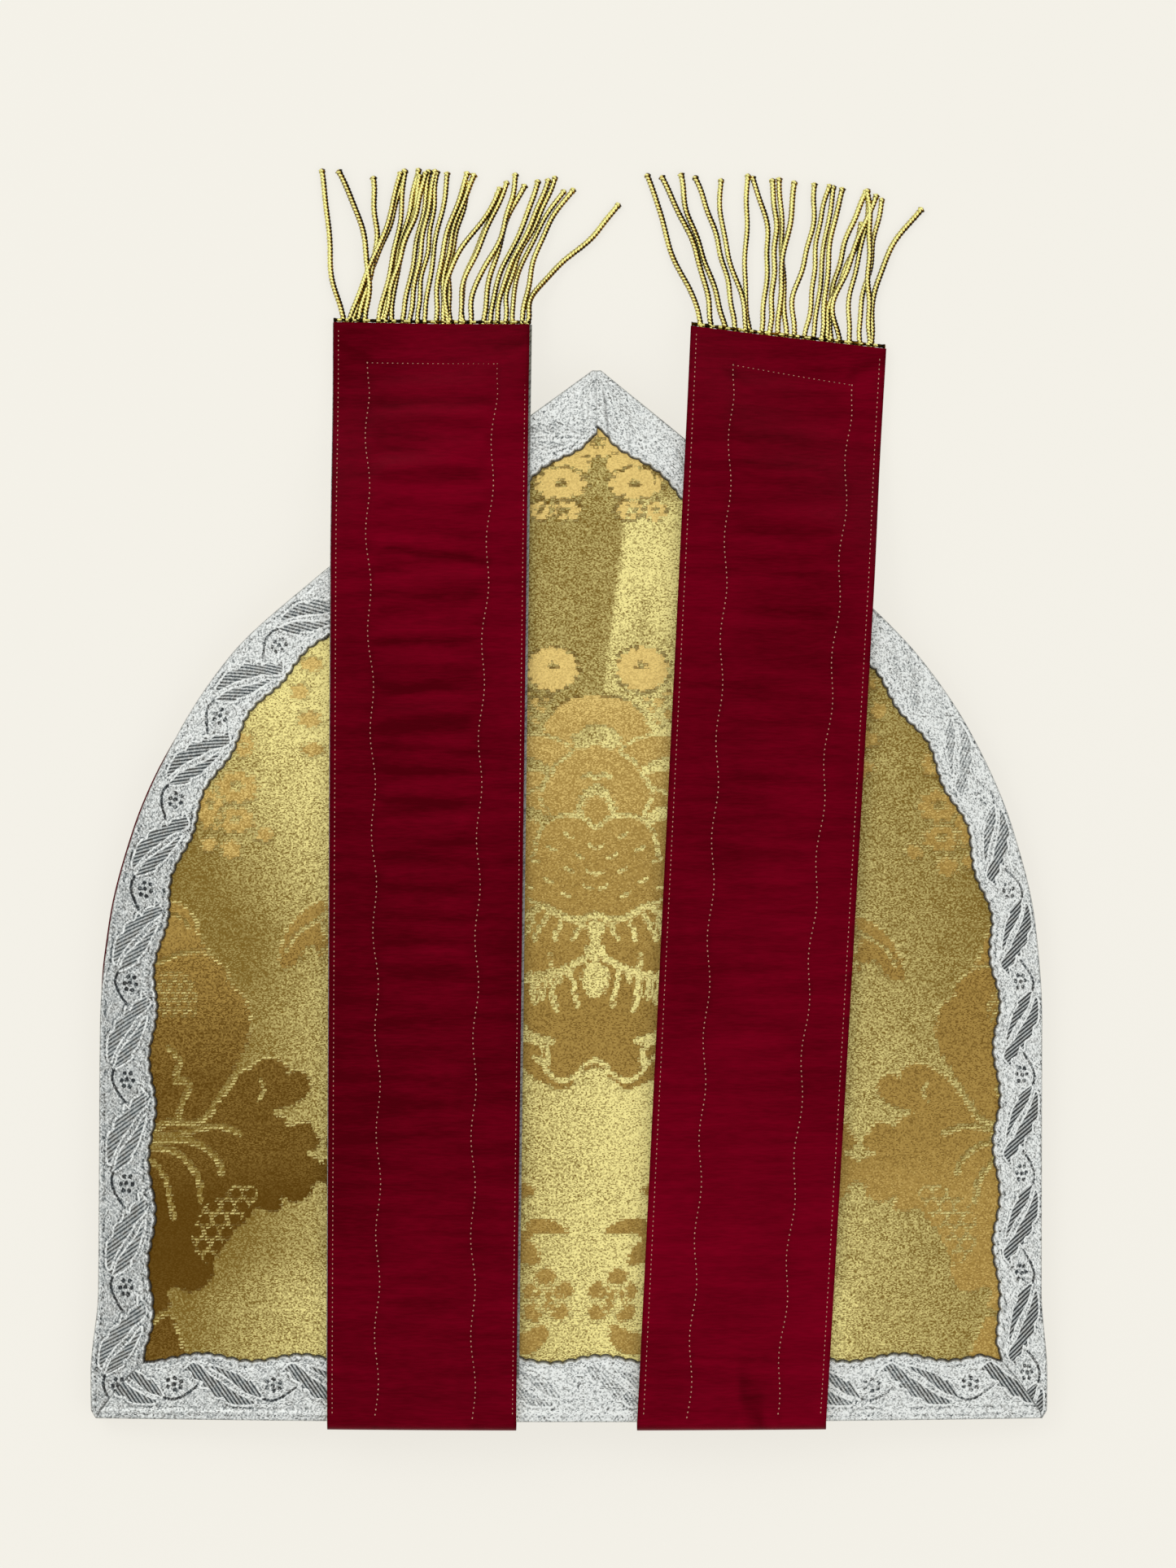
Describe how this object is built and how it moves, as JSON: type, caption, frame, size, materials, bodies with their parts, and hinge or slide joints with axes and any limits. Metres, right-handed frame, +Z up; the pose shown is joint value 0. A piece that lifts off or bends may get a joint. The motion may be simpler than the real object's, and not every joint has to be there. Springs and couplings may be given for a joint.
{
  "type": "bishop mitre",
  "caption": "Bishop mitre lying flat on its front, gold damask with silver galloon, its two crimson-lined lappets with gold bullion fringe folded up over the back.",
  "frame": {"origin": "middle of the brim band's underside, where the object rests", "axes": "+X to the right as seen from above, +Y from the brim to the peaks, +Z up, away from the surface that it lies on"},
  "size_m": [0.3006, 0.3962, 0.0252],
  "materials": {
    "gold_damask": "woven gold floral damask on a stiff backing",
    "crimson_lining": "crimson satin lining",
    "silver_galloon": "woven silver galloon with a leaf pattern",
    "gold_bullion": "twisted gold bullion strands"
  },
  "bodies": {
    "root": {"front_panel": "gold_damask", "back_panel": "gold_damask", "front_lining": "crimson_lining", "back_lining": "crimson_lining", "crown_gusset": "crimson_lining", "front_border_left": "silver_galloon", "front_border_right": "silver_galloon", "front_border_bottom": "silver_galloon", "back_border_left": "silver_galloon", "back_border_right": "silver_galloon", "back_border_bottom": "silver_galloon", "lappet_left_face": "gold_damask", "lappet_left_lining": "crimson_lining", "lappet_left_border": "silver_galloon", "lappet_left_fringe": "gold_bullion", "lappet_right_face": "gold_damask", "lappet_right_lining": "crimson_lining", "lappet_right_border": "silver_galloon", "lappet_right_fringe": "gold_bullion"}
  },
  "joints": []
}
